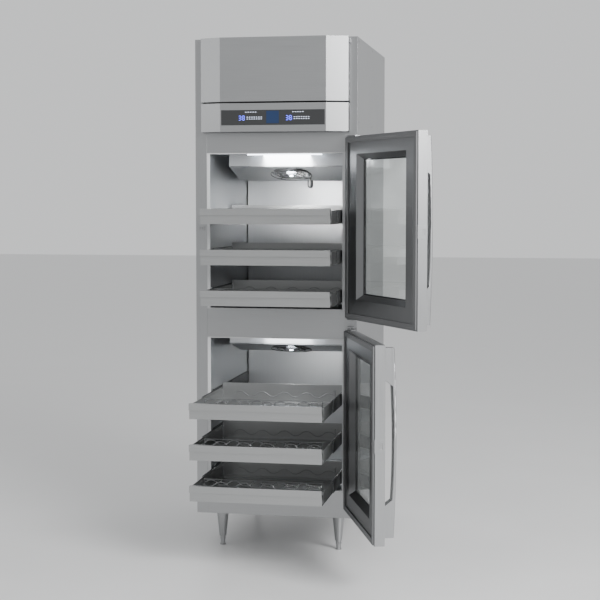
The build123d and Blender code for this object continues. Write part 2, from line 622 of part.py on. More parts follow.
def drawer_rack(name, front, top):
    """Wire cradle laid in a tray: upright wavy frames standing on two rails along the tray's floor."""
    pitch = 2 * WIRE_R + WIRE_GAP
    rail_z = top - DRAWER_H + TRAY_T + WIRE_R + JOINT
    sill_z = rail_z + pitch
    end = WAVES * WAVE_P / 4
    with BuildPart() as rack:
        for distance, drop, sign, barred, first, post_drop in WAVE_FRAMES:
            y = front + distance
            line, section = wave_wire(y, top - drop, sign, first)
            sweep(section, path=line)
            post = (sill_z + pitch / 2, top - post_drop)
            for side in (-1, 1):
                rod((side * (end + pitch), y, sum(post) / 2), WIRE_R, post[1] - post[0])
                if first:
                    hook = (side * (end + pitch), y + WIRE_R - HOOK / 2, post[1] + pitch / 2)
                    rod(hook, WIRE_R, HOOK, (0, 1, 0))
            bars = (sill_z, post[1] + pitch / 2) if barred else (sill_z,)
            for z in bars:
                rod((0, y, z), WIRE_R, 2 * (end + pitch + WIRE_R), (1, 0, 0))
        rail_y = (front + WAVE_FRAMES[0][0] - 20, front + WAVE_FRAMES[-1][0] + 20)
        for side in (-1, 1):
            rod((side * (end + pitch), sum(rail_y) / 2, rail_z), WIRE_R, rail_y[1] - rail_y[0], (0, 1, 0))
    save(rack, f"{name}_rack")


def drawers():
    """Every drawer with its rack and middle slide members, and the members fixed to the cabinet."""
    for level, tops in DRAWER_TOPS.items():
        front = DRAWER_FRONT_Y[level]
        travel = CLOSED_FRONT_Y - front
        for number, top in enumerate(tops, 1):
            name = f"{level}_drawer_{number}"
            drawer_tray(name, front, top)
            drawer_rack(name, front, top)
            with BuildPart() as middle:
                slides(1, CLOSED_FRONT_Y + SLIDE_SETBACK - travel / 2, top - DRAWER_H)
            save(middle, f"{name}_mid_slides")
    with BuildPart() as fixed:
        for tops in DRAWER_TOPS.values():
            for top in tops:
                slides(2, CLOSED_FRONT_Y + SLIDE_SETBACK, top - DRAWER_H)
    save(fixed, "cabinet_slides")


def main():
    insulation()
    side_panels()
    back_panel()
    front_frame()
    liners()
    hinge_brackets()
    legs()
    fascia()
    shroud()
    machine_panels()
    machinery()
    housings()
    lamps_and_probes()
    for door in DOOR_ANGLE:
        door_leaf(door)
        door_glazing(door)
        door_handle(door)
        door_hardware(door)
    drawers()


if __name__ == "__main__":
    main()
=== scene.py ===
import json
from math import pi, radians

import bpy
from bpy.props import FloatProperty, FloatVectorProperty, PointerProperty, StringProperty
from mathutils import Matrix, Vector


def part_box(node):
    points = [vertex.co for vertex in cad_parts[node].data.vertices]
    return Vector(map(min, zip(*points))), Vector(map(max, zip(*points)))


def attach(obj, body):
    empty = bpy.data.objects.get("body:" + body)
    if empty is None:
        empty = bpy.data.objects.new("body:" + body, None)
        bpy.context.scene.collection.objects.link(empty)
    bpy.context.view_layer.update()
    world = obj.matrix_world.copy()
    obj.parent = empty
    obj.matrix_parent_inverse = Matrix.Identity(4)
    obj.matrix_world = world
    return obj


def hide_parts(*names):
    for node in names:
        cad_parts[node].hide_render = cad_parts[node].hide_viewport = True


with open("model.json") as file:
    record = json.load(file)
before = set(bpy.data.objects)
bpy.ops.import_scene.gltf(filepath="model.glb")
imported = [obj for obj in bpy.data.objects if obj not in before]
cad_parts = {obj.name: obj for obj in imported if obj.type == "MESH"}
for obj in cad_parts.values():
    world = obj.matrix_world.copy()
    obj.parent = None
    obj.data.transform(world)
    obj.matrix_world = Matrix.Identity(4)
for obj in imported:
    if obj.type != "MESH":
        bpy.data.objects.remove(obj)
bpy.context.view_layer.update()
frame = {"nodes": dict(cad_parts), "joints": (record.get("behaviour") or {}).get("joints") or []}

bl_info = {
    "name": "Proofing cabinet",
    "version": (1, 0, 0),
    "blender": (4, 5, 0),
    "location": "3D View > Sidebar > Cabinet",
    "description": "Dresses the proofing cabinet's frame: finishes, door seals, display, screws and pipes",
    "category": "Object",
}

MM = 0.001

# door seals
PANE = 3.2 * MM                          # thickness of one pane
SPACER_WIDTH = 14 * MM
GASKET_WIDTH, GASKET_LIP = 20 * MM, 6 * MM    # the lip is what stands on each side of the channel

# display: two readouts, each with figures, rows of printed marks and a label over them
READOUTS = (-92 * MM, 102 * MM)          # reference points of the readouts, from the cabinet's middle
READING = "38"
FIGURES_LEFT, FIGURE_DROP = 48 * MM, 2 * MM
FIGURE_SHAPE, FIGURE_PITCH = 0.55, 1.6   # width over height, and pitch in figure widths
STROKE_WIDTH, STROKE_DEPTH, STROKE_FILL = 2.4 * MM, 0.6 * MM, 0.9
MARK_SIZE, MARK_PITCH, MARK_COUNT = (7.5 * MM, 3.2 * MM), (9.6 * MM, 7.5 * MM), (7, 2)
MARKS_LEFT, MARKS_DROP = 12 * MM, 6 * MM
LABEL_SIZE, LABEL_PITCH, LABEL_COUNT = (8.5 * MM, 3.0 * MM), 10 * MM, 5
LABEL_LEFT, LABEL_DROP = 18 * MM, 9 * MM
PAD_HALF, PAD_RISE, PAD_BOTTOM, PAD_TOP = 26 * MM, 0.4 * MM, 7 * MM, 4 * MM

# sheet screws: distance from a sheet's edge and above the seam, and the shape of a head
SCREW_EDGE, SCREW_SEAM = 16 * MM, 14 * MM
HEAD_RISE, SLOT_DEPTH = 0.5 * MM, 0.7 * MM

FIN_STEP = 6 * MM                        # drawn pitch of the fins
WAVE_RATE = 20                           # radians per unit and per scale in a wave texture

# softboxes: name, place, the point that they face, side length, and the setting with their power
SOFTBOXES = (("Right softbox", (3.6, -3.4, 3.2), (0.2, 0.2, 1.1), 2.4, "key"),
             ("Left softbox", (-3.6, -3.0, 2.6), (0, 0.2, 1.1), 2.2, "fill"))
DOORS = ("upper", "lower")
DRAWERS = [f"{level}_drawer_{number}" for level in DOORS for number in (1, 2, 3)]


# ------------------------------------------------------------------ settings
class CabinetFinishes(bpy.types.PropertyGroup):
    """Colours of the cabinet's finishes, as sRGB hex."""
    sheet: StringProperty(name="Sheet", description="Brushed stainless of the outer sheets",
                          default="#A3A4A5")
    liner: StringProperty(name="Liner", description="Stainless of the compartments", default="#C6C8CA")
    strip: StringProperty(name="Strips", description="Moulded strips round the openings", default="#C2C3C4")
    keys: StringProperty(name="Keys", description="Dark blue key pad", default="#12284A")
    door_panel: StringProperty(name="Door panel", description="Inner panel of the doors", default="#7B7C7D")
    drawer: StringProperty(name="Drawers", description="Folded drawer sheet", default="#ABACAC")
    slide: StringProperty(name="Slides", description="Zinc-plated slide steel", default="#606162")
    wire: StringProperty(name="Wire", description="Drawn rack wire", default="#969798")
    gasket: StringProperty(name="Gasket", description="Vinyl door gasket", default="#626364")
    spacer: StringProperty(name="Spacer", description="Dark bar between the panes", default="#1B1C1D")
    display: StringProperty(name="Display", description="Smoked display window", default="#2A2B2C")
    digits: StringProperty(name="Digits", description="Lit figures", default="#5A63FF")
    # this colour also drives the printed marks' painted glow in the display
    marks: StringProperty(name="Marks", description="Printed marks beside the figures", default="#C9D2E6")
    lamp: StringProperty(name="Lamps", description="Cool white lamp face", default="#EAF3FF")
    plastic: StringProperty(name="Dark plastic", description="Fans and probes", default="#1E1F20")
    enamel: StringProperty(name="Enamel", description="Compressor shell", default="#131415")
    fins: StringProperty(name="Fins", description="Aluminium fin stock", default="#8E9092")
    copper: StringProperty(name="Copper", description="Refrigerant tube", default="#B4694A")
    foam: StringProperty(name="Foam", description="Foamed insulation", default="#D9CFA6")
    glass: StringProperty(name="Glass", description="Clear float glass", default="#FDFFFE")
    floor: StringProperty(name="Floor", description="Pale floor", default="#D9D9D9")
    surround: StringProperty(name="Surround", description="Colour of the surrounding light",
                             default="#E4E5E6")


class CabinetSizes(bpy.types.PropertyGroup):
    """Sizes of the pieces that are added to the frame."""
    gasket_groove: FloatProperty(name="Gasket groove", description="Depth of the channel along the gasket",
                                 default=2.2 * MM, unit="LENGTH")
    screw: FloatProperty(name="Screw head", description="Diameter of the sheet screws' heads",
                         default=8.0 * MM, unit="LENGTH")
    digit_height: FloatProperty(name="Digit height", description="Height of a lit figure",
                                default=17.0 * MM, unit="LENGTH")
    tube: FloatProperty(name="Tube", description="Diameter of the copper tube",
                        default=9.5 * MM, unit="LENGTH")


class CabinetStage(bpy.types.PropertyGroup):
    """Camera and light of the stage."""
    place: FloatVectorProperty(name="Camera place", description="Where the camera stands", size=3,
                               default=(1.16065, -5.66568, 1.46117), subtype="TRANSLATION")
    turn: FloatProperty(name="Camera turn", description="Heading of the camera", default=radians(10.593),
                        subtype="ANGLE")
    tilt: FloatProperty(name="Camera tilt", description="How far the camera looks down",
                        default=radians(4.081),
                        subtype="ANGLE")
    lens: FloatProperty(name="Lens", description="Focal length on a 36 mm sensor, in millimetres",
                        default=84.70)
    sky: FloatProperty(name="Surround", description="Strength of the soft surrounding light", default=1.06)
    key: FloatProperty(name="Key light", description="Power of the large right-hand softbox, in watts",
                       default=420.0)
    fill: FloatProperty(name="Fill light", description="Power of the left softbox, in watts",
                        default=18.0)
    upper_lamp: FloatProperty(name="Upper lamp",
                              description="Power of the upper compartment's lamps, in watts",
                              default=2.4)
    lower_lamp: FloatProperty(name="Lower lamp",
                              description="Power of the lower compartment's lamps, in watts",
                              default=0.7)


def settings(name):
    return getattr(bpy.context.scene, f"cabinet_{name}")


# ------------------------------------------------------------------ small tools
def linear(code):
    """An sRGB hex colour as linear RGBA."""
    parts = [int(code[i:i + 2], 16) / 255 for i in (1, 3, 5)]
    return tuple(c / 12.92 if c <= 0.04045 else ((c + 0.055) / 1.055) ** 2.4 for c in parts) + (1.0,)


def add_node(tree, kind, values=None, links=None, **attributes):
    """A node with its attributes, socket values and incoming links set."""
    node = tree.nodes.new(kind)
    for name, value in attributes.items():
        setattr(node, name, value)
    for name, value in (values or {}).items():
        node.inputs[name].default_value = value
    for name, source in (links or {}).items():
        tree.links.new(source, node.inputs[name])
    return node


def new_material(name, colour, **shader):
    """A material with a Principled shader and object coordinates, ready for its pattern."""
    material = bpy.data.materials.new(name)
    material.use_nodes = True
    tree = material.node_tree
    bsdf = tree.nodes["Principled BSDF"]
    bsdf.inputs["Base Color"].default_value = linear(colour)
    for socket, value in shader.items():
        bsdf.inputs[socket.replace("_", " ")].default_value = value
    where = add_node(tree, "ShaderNodeTexCoord").outputs["Object"]
    return material, tree, bsdf, where


def vary(tree, where, stretch, low, high, detail=4.0):
    """A noise, stretched per axis in cycles per metre, as values between low and high."""
    scaled = add_node(tree, "ShaderNodeMapping", {"Scale": stretch}, {"Vector": where})
    noise = add_node(tree, "ShaderNodeTexNoise", {"Scale": 1.0, "Detail": detail, "Roughness": 0.6},
                     {"Vector": scaled.outputs["Vector"]})
    spread = add_node(tree, "ShaderNodeMapRange",
                      {"From Min": 0.25, "From Max": 0.75, "To Min": low, "To Max": high},
                      {"Value": noise.outputs["Fac"]})
    return spread.outputs["Result"]


def tint(tree, colour, share, amount_low, amount_high):
    """A colour multiplied by a grey that follows a 0 to 1 pattern."""
    grey = add_node(tree, "ShaderNodeMapRange", {"To Min": amount_low, "To Max": amount_high},
                    {"Value": share})
    # sockets 6 and 7 are the colours A and B, and output 2 is the mixed colour
    mix = add_node(tree, "ShaderNodeMix", {"Factor": 1.0, 6: linear(colour)}, {7: grey.outputs["Result"]},
                   data_type="RGBA", blend_type="MULTIPLY")
    return mix.outputs[2]


def bump(tree, bsdf, height, distance, strength=1.0):
    """Bump from a height pattern, with its depth in metres."""
    node = add_node(tree, "ShaderNodeBump", {"Distance": distance, "Strength": strength}, {"Height": height})
    tree.links.new(node.outputs["Normal"], bsdf.inputs["Normal"])
    return node


# ------------------------------------------------------------------ materials
GRAIN = {"x": (6, 420, 420), "y": (420, 6, 420), "z": (420, 420, 6)}    # cycles per metre


def brushed_steel(name, colour, grain, roughness=0.34):
    """Brushed 304 stainless, No. 4 finish: long fine scratches spread the highlight across the grain."""
    material, tree, bsdf, where = new_material(name, colour, Metallic=1.0)
    # the real grit is about 0.1 mm; drawn at 2.4 mm so that it shows
    lines = vary(tree, where, GRAIN[grain], 0.0, 1.0, 3.0)
    clouds = vary(tree, where, (2.2, 2.2, 2.2), 0.0, 1.0, 2.0)
    tree.links.new(tint(tree, colour, lines, 0.955, 1.03), bsdf.inputs["Base Color"])
    smears = add_node(tree, "ShaderNodeMath", {1: 0.35}, {0: clouds}, operation="MULTIPLY")
    both = add_node(tree, "ShaderNodeMath", {}, {0: lines, 1: smears.outputs[0]}, operation="ADD")
    rough = add_node(tree, "ShaderNodeMapRange", {"From Max": 1.35, "To Min": roughness - 0.05,
                                                  "To Max": roughness + 0.07}, {"Value": both.outputs[0]})
    tree.links.new(rough.outputs["Result"], bsdf.inputs["Roughness"])
    edge = add_node(tree, "ShaderNodeBevel", {"Radius": 0.9 * MM}, samples=4)
    node = bump(tree, bsdf, lines, 0.02 * MM, 0.35)
    tree.links.new(edge.outputs["Normal"], node.inputs["Normal"])
    return material


def plated_steel(name, colour, roughness=0.42):
    """Zinc-plated or drawn steel: duller than the sheet, with a faint spangle."""
    material, tree, bsdf, where = new_material(name, colour, Metallic=0.85)
    spangle = vary(tree, where, (160, 160, 160), 0.0, 1.0, 2.0)
    tree.links.new(tint(tree, colour, spangle, 0.88, 1.06), bsdf.inputs["Base Color"])
    rough = add_node(tree, "ShaderNodeMapRange", {"To Min": roughness - 0.08, "To Max": roughness + 0.1},
                     {"Value": spangle})
    tree.links.new(rough.outputs["Result"], bsdf.inputs["Roughness"])
    bump(tree, bsdf, spangle, 0.03 * MM)
    return material


def moulded(name, colour, roughness=0.5, grain_mm=1.2, depth=0.05):
    """Moulded plastic, vinyl or enamel: a fine even grain under a soft sheen."""
    material, tree, bsdf, where = new_material(name, colour)
    step = 1000 / grain_mm
    grain = vary(tree, where, (step, step, step), 0.0, 1.0, 2.0)
    tree.links.new(tint(tree, colour, grain, 0.93, 1.05), bsdf.inputs["Base Color"])
    rough = add_node(tree, "ShaderNodeMapRange", {"To Min": roughness - 0.06, "To Max": roughness + 0.08},
                     {"Value": grain})
    tree.links.new(rough.outputs["Result"], bsdf.inputs["Roughness"])
    bump(tree, bsdf, grain, depth * MM)
    return material


def lit(name, colour, strength):
    """A lit face: a clear cover over light-emitting diodes, slightly uneven from place to place; the printed
    marks use it too, as a painted glow.
    """
    material, tree, bsdf, where = new_material(name, colour, Roughness=0.3)
    cells = vary(tree, where, (90, 90, 90), 0.0, 1.0, 0.0)
    tree.links.new(tint(tree, colour, cells, 0.9, 1.0), bsdf.inputs["Emission Color"])
    bsdf.inputs["Emission Strength"].default_value = strength
    return material


def pane_glass(name, colour):
    """Float glass: clear, with a little dust on it."""
    material, tree, bsdf, where = new_material(name, colour, Roughness=0.0, IOR=1.5)
    bsdf.inputs["Transmission Weight"].default_value = 1.0
    dust = vary(tree, where, (60, 60, 60), 0.0, 0.012, 4.0)
    tree.links.new(dust, bsdf.inputs["Roughness"])
    return material


def glossy_window(name, colour):
    """Smoked acrylic: near black and glossy, with faint finger marks."""
    material, tree, bsdf, where = new_material(name, colour)
    marks = vary(tree, where, (70, 70, 70), 0.06, 0.22, 5.0)
    tree.links.new(marks, bsdf.inputs["Roughness"])
    return material


def fin_stock(name, colour):
    """Pressed aluminium fins: real ones are about 2 mm apart, drawn wider so that they show; the darker
    bands between them are painted shade in the gaps.
    """
    material, tree, bsdf, where = new_material(name, colour, Metallic=0.9, Roughness=0.45)
    wave = add_node(tree, "ShaderNodeTexWave", {"Scale": 2 * pi / (WAVE_RATE * FIN_STEP), "Distortion": 0.0},
                    {"Vector": where}, bands_direction="X")
    # the darker bands are painted shade: the gaps between the fins, darkened to 0.45 of the fin colour
    tree.links.new(tint(tree, colour, wave.outputs["Fac"], 0.45, 1.0), bsdf.inputs["Base Color"])
    bump(tree, bsdf, wave.outputs["Fac"], 0.6 * MM)
    return material


def floor_paint(name, colour):
    """Pale sealed floor with a slight sheen and soft cloudy tone."""
    material, tree, bsdf, where = new_material(name, colour)
    clouds = vary(tree, where, (1.3, 1.3, 1.3), 0.0, 1.0, 5.0)
    tree.links.new(tint(tree, colour, clouds, 0.94, 1.03), bsdf.inputs["Base Color"])
    rough = add_node(tree, "ShaderNodeMapRange", {"To Min": 0.32, "To Max": 0.5}, {"Value": clouds})
    tree.links.new(rough.outputs["Result"], bsdf.inputs["Roughness"])
    return material


def dress(nodes, material):
    """Give CAD nodes a material in place of the plain one."""
    for name in nodes:
        slots = frame["nodes"][name].material_slots
        if not slots:
            frame["nodes"][name].data.materials.append(material)
        for slot in slots:
            slot.material = material


# ------------------------------------------------------------------ modelling tools
def deselect():
    if bpy.context.object and bpy.context.object.mode != "OBJECT":
        bpy.ops.object.mode_set(mode="OBJECT")
    bpy.ops.object.select_all(action="DESELECT")


def add_cube(name, low, high):
    """A box between two corners, as the start of a piece."""
    deselect()
    middle = [(a + b) / 2 for a, b in zip(low, high)]
    bpy.ops.mesh.primitive_cube_add(size=1, location=middle)
    piece = bpy.context.object
    piece.name = name
    piece.scale = [abs(b - a) for a, b in zip(low, high)]
    bpy.ops.object.transform_apply(location=True, rotation=True, scale=True)
    return piece


def add_rod(name, centre, radius, length, axis=(0, 0, 1), sides=24):
    """A round bar along an axis, as the start of a piece."""
    deselect()
    turn = Vector(axis).to_track_quat("Z", "Y").to_euler()
    bpy.ops.mesh.primitive_cylinder_add(vertices=sides, radius=radius, depth=length, location=centre,
                                        rotation=turn)
    piece = bpy.context.object
    piece.name = name
    bpy.ops.object.transform_apply(location=True, rotation=True, scale=True)
    return piece


def pick_faces(piece, test):
    """In edit mode, select the faces whose centre and normal pass a test, and nothing else."""
    bpy.ops.object.mode_set(mode="EDIT")
    bpy.ops.mesh.select_mode(type="FACE")
    bpy.ops.mesh.select_all(action="DESELECT")
    bpy.ops.object.mode_set(mode="OBJECT")
    for face in piece.data.polygons:
        face.select = test(face.center, face.normal)
    bpy.ops.object.mode_set(mode="EDIT")


def soften(piece, width, segments=2, angle=radians(30)):
    """Round the piece's sharp edges and shade it smooth between them."""
    deselect()
    piece.select_set(True)
    bpy.context.view_layer.objects.active = piece
    bevel = piece.modifiers.new("Rounded edges", "BEVEL")
    bevel.width = width
    bevel.segments = segments
    bevel.limit_method = "ANGLE"
    bevel.angle_limit = angle
    bpy.ops.object.modifier_apply(modifier=bevel.name)
    bpy.ops.object.shade_smooth_by_angle(angle=radians(40))


def join(name, pieces):
    """Join pieces into one object."""
    deselect()
    for piece in pieces:
        piece.select_set(True)
    bpy.context.view_layer.objects.active = pieces[0]
    if len(pieces) > 1:
        bpy.ops.object.join()
    pieces[0].name = name
    pieces[0].data.name = name
    return pieces[0]


def place(piece, material, body, slot, replaced=()):
    """Finish a piece: its material, the body it rides on and the nodes it stands for."""
    piece.data.materials.clear()
    piece.data.materials.append(material)
    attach(piece, body)
    if replaced:
        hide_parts(*replaced)
    return piece


def joint(name):
    return next(j for j in frame["joints"] if j["name"] == name)


def door_frame(door):
    """Matrix from a door's own frame to the row's: x from hinge to free edge, y outwards, z up."""
    along = Vector(joint(f"{door}_lock_slide")["axis"]).normalized()
    up = Vector((0, 0, 1))
    out = up.cross(along)
    turn = Matrix((along, out, up)).transposed().to_4x4()
    return Matrix.Translation(joint(f"{door}_door_hinge")["pos_m"]) @ turn


def local_box(node, matrix):
    """Lowest and highest corner of a CAD node in a local frame."""
    inverse = matrix.inverted()
    points = [inverse @ v.co for v in frame["nodes"][node].data.vertices]
    low = Vector([min(p[i] for p in points) for i in range(3)])
    high = Vector([max(p[i] for p in points) for i in range(3)])
    return low, high


def band(name, low, high, width):
    """A flat rectangular ring in the x-z plane, between two corners, as deep as they are in y."""
    deselect()
    middle = (low + high) / 2
    bpy.ops.mesh.primitive_plane_add(size=1, location=(middle.x, low.y, middle.z), rotation=(pi / 2, 0, 0))
    piece = bpy.context.object
    piece.name = name
    piece.scale = (high.x - low.x, high.z - low.z, 1)
    bpy.ops.object.transform_apply(location=True, rotation=True, scale=True)
    bpy.ops.object.mode_set(mode="EDIT")
    bpy.ops.mesh.select_all(action="SELECT")
    bpy.ops.mesh.inset(thickness=width, use_even_offset=True)
    bpy.ops.mesh.delete(type="FACE")
    bpy.ops.mesh.select_all(action="SELECT")
    bpy.ops.mesh.extrude_region_move(TRANSFORM_OT_translate={"value": (0, high.y - low.y, 0)})
    bpy.ops.mesh.select_all(action="SELECT")
    bpy.ops.mesh.normals_make_consistent(inside=False)
    bpy.ops.object.mode_set(mode="OBJECT")
    return piece


# ------------------------------------------------------------------ operators
class CABINET_OT_finishes(bpy.types.Operator):
    """Give every node of the frame its finish"""
    bl_idname = "cabinet.finishes"
    bl_label = "Finishes"

    def execute(self, context):
        f = settings("finishes")
        vertical = brushed_steel("Brushed stainless, vertical grain", f.sheet, "z")
        across = brushed_steel("Brushed stainless, level grain", f.sheet, "x")
        liner = brushed_steel("Liner stainless", f.liner, "z", 0.42)
        drawer = brushed_steel("Drawer stainless", f.drawer, "x", 0.36)
        door_panel = brushed_steel("Door panel stainless", f.door_panel, "z", 0.4)
        plated = plated_steel("Zinc-plated slide steel", f.slide)
        wire = brushed_steel("Drawn wire", f.wire, "x", 0.3)
        plastic = moulded("Moulded dark nylon", f.plastic)
        enamel = moulded("Black enamel", f.enamel, 0.3)
        lamp = lit("Lamp cover", f.lamp, 9.0)
        glass = pane_glass("Float glass", f.glass)
        fins = fin_stock("Aluminium fins", f.fins)
        dress(["side_panels", "back_panel", "front_stiles", "machine_panels"], vertical)
        dress(["front_plates", "control_fascia", "shroud"], across)
        dress(["liners", "duct_panels", "evaporator_housings"], liner)
        dress(["hinge_brackets", "legs", "levelling_feet"], vertical)
        dress(["breaker_strips"], moulded("Moulded breaker strip", f.strip, 0.45))
        dress(["cabinet_slides"], plated)
        foam = moulded("Foamed insulation", f.foam, 0.9, 2.0, 0.4)
        dress(["insulation"], foam)
        dress(["compressor"], enamel)
        dress(["condenser", "evaporator_coils"], fins)
        dress(["condenser_fan", "fan_guards", "upper_fan_blades", "lower_fan_blades",
               "temperature_probes"], plastic)
        dress(["led_lamps"], lamp)
        dress(["display_lens"], glossy_window("Smoked acrylic", f.display))
        for door in DOORS:
            dress([f"{door}_door_outer_skin", f"{door}_door_handle", f"{door}_door_hardware",
                   f"{door}_lock_bolt"], vertical)
            dress([f"{door}_door_inner_panel"], door_panel)
            dress([f"{door}_door_core"], foam)
            dress([f"{door}_door_glass"], glass)
            dress([f"{door}_door_seals"], plastic)
        for name in DRAWERS:
            dress([f"{name}_tray"], drawer)
            dress([f"{name}_mid_slides"], plated)
            dress([f"{name}_rack"], wire)
        return {"FINISHED"}


class CABINET_OT_seals(bpy.types.Operator):
    """Model the channelled gasket and the dark glass spacer of both doors"""
    bl_idname = "cabinet.seals"
    bl_label = "Door seals"

    def execute(self, context):
        f, s = settings("finishes"), settings("sizes")
        vinyl = moulded("Grey vinyl gasket", f.gasket, 0.55)
        black = moulded("Black spacer bar", f.spacer, 0.4)
        for door in DOORS:
            matrix = door_frame(door)
            low, high = local_box(f"{door}_door_seals", matrix)
            inner = local_box(f"{door}_door_inner_panel", matrix)
            glass = local_box(f"{door}_door_glass", matrix)
            gasket_low = Vector((low.x, low.y, low.z))
            gasket_high = Vector((high.x, inner[0].y, high.z))
            gasket = band(f"{door}_door_gasket", gasket_low, gasket_high, GASKET_WIDTH)
            pick_faces(gasket, lambda c, n: n.y < -0.9)
            bpy.ops.mesh.inset(thickness=GASKET_LIP, use_even_offset=True)
            bpy.ops.transform.translate(value=(0, s.gasket_groove, 0))
            bpy.ops.object.mode_set(mode="OBJECT")
            soften(gasket, 1.4 * MM, 3)
            gasket.data.transform(matrix)
            place(gasket, vinyl, f"{door}_door", "rubber", [f"{door}_door_seals"])
            spacer = band(f"{door}_glass_spacer", Vector((glass[0].x, glass[0].y + PANE, glass[0].z)),
                          Vector((glass[1].x, glass[1].y - PANE, glass[1].z)), SPACER_WIDTH)
            soften(spacer, 0.5 * MM, 1)
            spacer.data.transform(matrix)
            place(spacer, black, f"{door}_door", "rubber")
        return {"FINISHED"}


# strokes of a figure, from a to g: middle across and up in figure widths and heights, and whether upright
STROKES = {"a": (0.5, 1.0, False), "b": (1.0, 0.75, True), "c": (1.0, 0.25, True), "d": (0.5, 0.0, False),
           "e": (0.0, 0.25, True), "f": (0.0, 0.75, True), "g": (0.5, 0.5, False)}
FIGURES = {"3": "abcdg", "8": "abcdefg"}


def stroke(name, length, width):
    """One lit stroke of a figure: a flat bar with pointed ends, lying level on the lens."""
    bar = add_rod(name, (0, 0, 0), 0.5, 1, (0, 1, 0), 6)
    bar.data.transform(Matrix.Diagonal((length, STROKE_DEPTH, width, 1)))
    bar.data.update()
    return bar


class CABINET_OT_display(bpy.types.Operator):
    """Model the lit figures, the printed marks and the key pad behind the display window"""
    bl_idname = "cabinet.display"
    bl_label = "Display"

    def execute(self, context):
        f, s = settings("finishes"), settings("sizes")
        low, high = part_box("display_lens")
        face, middle = low[1] - 0.2 * MM, (low[2] + high[2]) / 2
        height, width = s.digit_height, s.digit_height * FIGURE_SHAPE
        figures, marks = [], []
        for group in READOUTS:
            for place_at, figure in enumerate(READING):
                for key in FIGURES[figure]:
                    across, up, upright = STROKES[key]
                    bar = stroke("Stroke", (height / 2 if upright else width) * STROKE_FILL, STROKE_WIDTH)
                    turn = Matrix.Rotation(pi / 2 if upright else 0, 4, "Y")
                    x = group - FIGURES_LEFT + place_at * width * FIGURE_PITCH + across * width
                    z = middle + (up - 0.5) * height - FIGURE_DROP
                    bar.data.transform(Matrix.Translation((x, face, z)) @ turn)
                    figures.append(bar)
            for column in range(MARK_COUNT[0]):
                for row in range(MARK_COUNT[1]):
                    mark = stroke("Mark", *MARK_SIZE)
                    x = group - MARKS_LEFT + column * MARK_PITCH[0]
                    z = middle - MARKS_DROP + row * MARK_PITCH[1]
                    mark.data.transform(Matrix.Translation((x, face, z)))
                    marks.append(mark)
            for column in range(LABEL_COUNT):
                mark = stroke("Mark", *LABEL_SIZE)
                x = group - LABEL_LEFT + column * LABEL_PITCH
                mark.data.transform(Matrix.Translation((x, face, high[2] - LABEL_DROP)))
                marks.append(mark)
        place(join("display_figures", figures), lit("Lit figures", f.digits, 3.0), "cabinet", "display")
        # the printed marks and label glow at 0.55, painted light: print gives no light of its own
        place(join("display_marks", marks), lit("Printed marks", f.marks, 0.55), "cabinet", "display")
        pad = add_cube("key_pad", (-PAD_HALF, face - PAD_RISE, low[2] + PAD_BOTTOM),
                       (PAD_HALF, face, high[2] - PAD_TOP))
        pick_faces(pad, lambda c, n: n.y < -0.9)
        bpy.ops.mesh.inset(thickness=2.2 * MM, use_even_offset=True)
        bpy.ops.transform.translate(value=(0, 0.3 * MM, 0))
        bpy.ops.object.mode_set(mode="OBJECT")
        soften(pad, 0.15 * MM, 2)
        place(pad, glossy_window("Dark blue key pad", f.keys), "cabinet", "display")
        return {"FINISHED"}


class CABINET_OT_screws(bpy.types.Operator):
    """Model the pan-head screws that hold the sheets of the machine compartment and the back"""
    bl_idname = "cabinet.screws"
    bl_label = "Sheet screws"

    def execute(self, context):
        s = settings("sizes")
        low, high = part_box("machine_panels")
        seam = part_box("side_panels")[1][2]
        steel = plated_steel("Plated screws", settings("finishes").sheet, 0.35)
        sides = [(side * high[0], y, z, 90 * side) for side in (-1, 1)
                 for y in (low[1] + 60 * MM, high[1] / 2, high[1] - 30 * MM)
                 for z in (seam + SCREW_SEAM, high[2] - SCREW_EDGE)]
        floor_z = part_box("back_panel")[0][2]
        rows = (floor_z + 20 * MM, (floor_z + seam) / 2, seam - SCREW_EDGE, seam + SCREW_SEAM,
                high[2] - SCREW_EDGE)
        backs = [(x, high[1], z, 180) for x in (low[0] + SCREW_EDGE, 0, high[0] - SCREW_EDGE) for z in rows]
        heads = []
        for x, y, z, facing in sides + backs:
            head = screw_head(s.screw)
            head.data.transform(Matrix.Translation((x, y, z)) @ Matrix.Rotation(radians(facing), 4, "Z"))
            heads.append(head)
        place(join("sheet_screws", heads), steel, "cabinet", "hinge_steel")
        return {"FINISHED"}


def screw_head(diameter):
    """A domed head with a recessed driver slot, at the origin, facing the front."""
    head = add_rod("Screw", (0, -0.5 * MM, 0), diameter / 2, 1.0 * MM, (0, -1, 0), 20)
    pick_faces(head, lambda c, n: n.y < -0.9)
    bpy.ops.mesh.inset(thickness=diameter * 0.14)
    bpy.ops.transform.translate(value=(0, -HEAD_RISE, 0))
    bpy.ops.mesh.inset(thickness=diameter * 0.16)
    bpy.ops.transform.translate(value=(0, SLOT_DEPTH, 0))
    bpy.ops.object.mode_set(mode="OBJECT")
    return head


